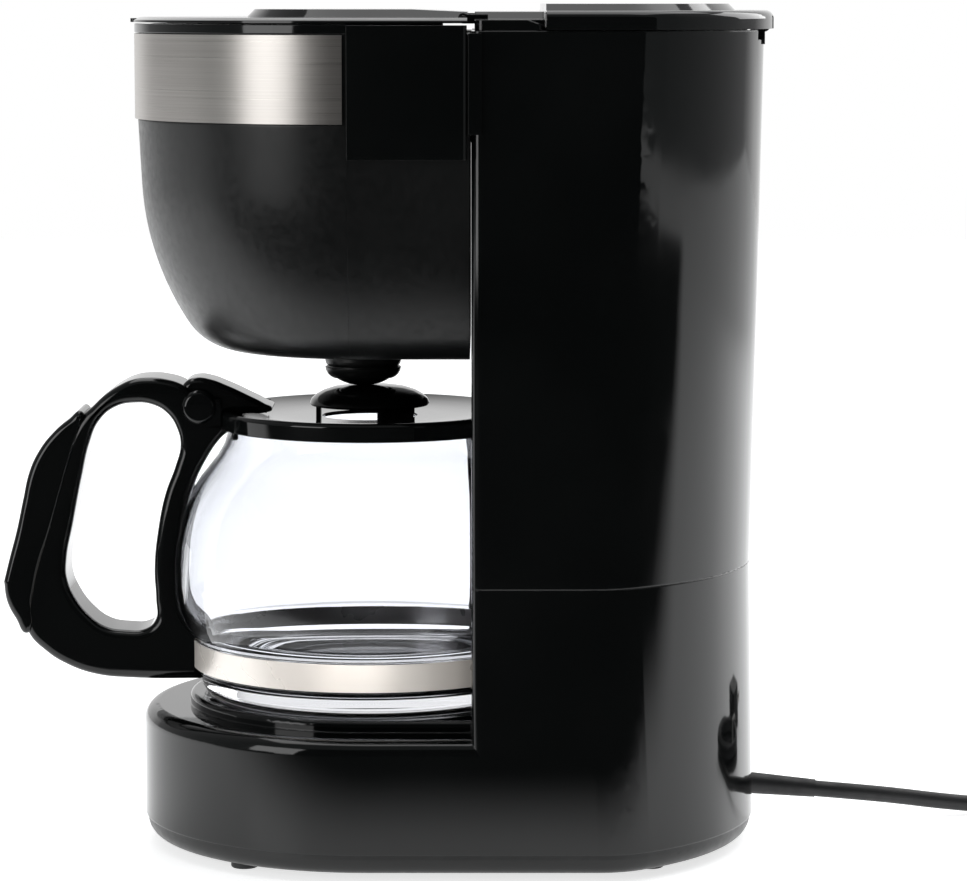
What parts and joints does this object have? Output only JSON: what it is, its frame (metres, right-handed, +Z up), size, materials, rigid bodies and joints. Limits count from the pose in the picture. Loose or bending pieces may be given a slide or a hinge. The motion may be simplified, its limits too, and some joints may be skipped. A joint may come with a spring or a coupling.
{
  "type": "drip coffee maker",
  "caption": "Small black drip coffee maker: rear water tank tower, round base with warming plate, swing-out filter holder with steel band, lids that open and a glass carafe with handle.",
  "frame": {"origin": "centre of the bounding box, without the cord, on the surface that the feet stand on", "axes": "+Z up, -Y towards the front (the carafe's handle), +X to the viewer's right when facing the front from behind the machine, so +X is the side without the hinge"},
  "size_m": [0.2324, 0.4103, 0.2645],
  "materials": {
    "shell_gloss": "gloss",
    "shell_satin": "satin",
    "steel_brushed": "brushed",
    "steel_pins": "polished",
    "plate_coated": "satin",
    "cast_aluminium": "cast",
    "rubber_black": "matte",
    "silicone": "matte",
    "water_plastic": "satin",
    "mesh_nylon": "matte",
    "clear_window": "gloss",
    "carafe_glass": "polished",
    "fuse_case": "satin",
    "tie_white": "matte",
    "pin_chrome": "polished"
  },
  "bodies": {
    "machine": {"bottom_cover": "shell_satin", "feet": "rubber_black", "bottom_screws": "steel_pins", "lower_shell": "shell_gloss", "warming_plate": "plate_coated", "plate_seal": "silicone", "heater": "cast_aluminium", "heater_clamp": "steel_pins", "clamp_screws": "steel_pins", "thermostat": "steel_pins", "thermal_fuse": "fuse_case", "check_valve": "water_plastic", "inlet_hose": "silicone", "outlet_hose": "silicone", "riser_tube": "water_plastic", "water_tank": "water_plastic", "spray_arm": "water_plastic", "shower_plate": "water_plastic", "upper_shell": "shell_gloss", "level_window": "clear_window", "top_bridge": "shell_gloss", "front_lid_pins": "steel_pins", "tank_lid_pin": "steel_pins", "hinge_post": "shell_gloss", "catch_post": "shell_gloss", "holder_pin": "steel_pins", "switch_bezel": "shell_gloss", "rocker_pin": "steel_pins", "strain_relief": "rubber_black", "cord": "rubber_black", "cord_coil": "rubber_black", "coil_tie": "tie_white", "plug_body": "rubber_black", "plug_pins": "pin_chrome"},
    "front_lid": {"front_lid": "shell_gloss"},
    "tank_lid": {"tank_lid": "shell_gloss"},
    "filter_holder": {"bowl_front": "shell_satin", "bowl_back": "shell_satin", "trim_band": "steel_brushed", "holder_rim": "shell_gloss", "side_panels": "shell_gloss", "filter_funnel": "shell_satin", "mesh_filter": "mesh_nylon", "valve_spring": "steel_pins"},
    "drip_stop": {"valve_plunger": "shell_satin", "valve_seal": "silicone"},
    "carafe": {"carafe_glass": "carafe_glass", "carafe_band": "steel_brushed", "band_screw": "steel_pins", "carafe_handle": "shell_satin", "handle_grip": "shell_satin", "carafe_lid": "shell_satin", "flow_cap": "shell_satin", "carafe_lid_pin": "steel_pins"},
    "power_rocker": {"rocker": "shell_gloss"}
  },
  "joints": [
    {"name": "front_lid_hinge", "type": "hinge", "parent": "machine", "child": "front_lid", "pos_m": [0, 0.0246, 0.2602], "axis": [-1, 0, 0], "range_deg": [0, 75]},
    {"name": "tank_lid_hinge", "type": "hinge", "parent": "machine", "child": "tank_lid", "pos_m": [0, 0.1175, 0.258], "axis": [-1, 0, 0], "range_deg": [0, 85]},
    {"name": "holder_swing", "type": "hinge", "parent": "machine", "child": "filter_holder", "pos_m": [-0.0695, 0.0221, 0.238], "axis": [0, 0, -1], "range_deg": [0, 85]},
    {"name": "drip_stop_travel", "type": "slide", "parent": "filter_holder", "child": "drip_stop", "axis": [0, 0, 1], "range_m": [0, 0.002], "stiffness_N_per_m": 300, "springref_m": -0.002, "deforming": ["valve_spring"]},
    {"name": "carafe_slide", "type": "slide", "parent": "machine", "child": "carafe", "axis": [0, -1, 0], "range_m": [0, 0.18]},
    {"name": "rocker_tilt", "type": "hinge", "parent": "machine", "child": "power_rocker", "pos_m": [-0.0684, 0.062, 0.03], "axis": [0, -1, 0], "range_deg": [0, 12]}
  ]
}
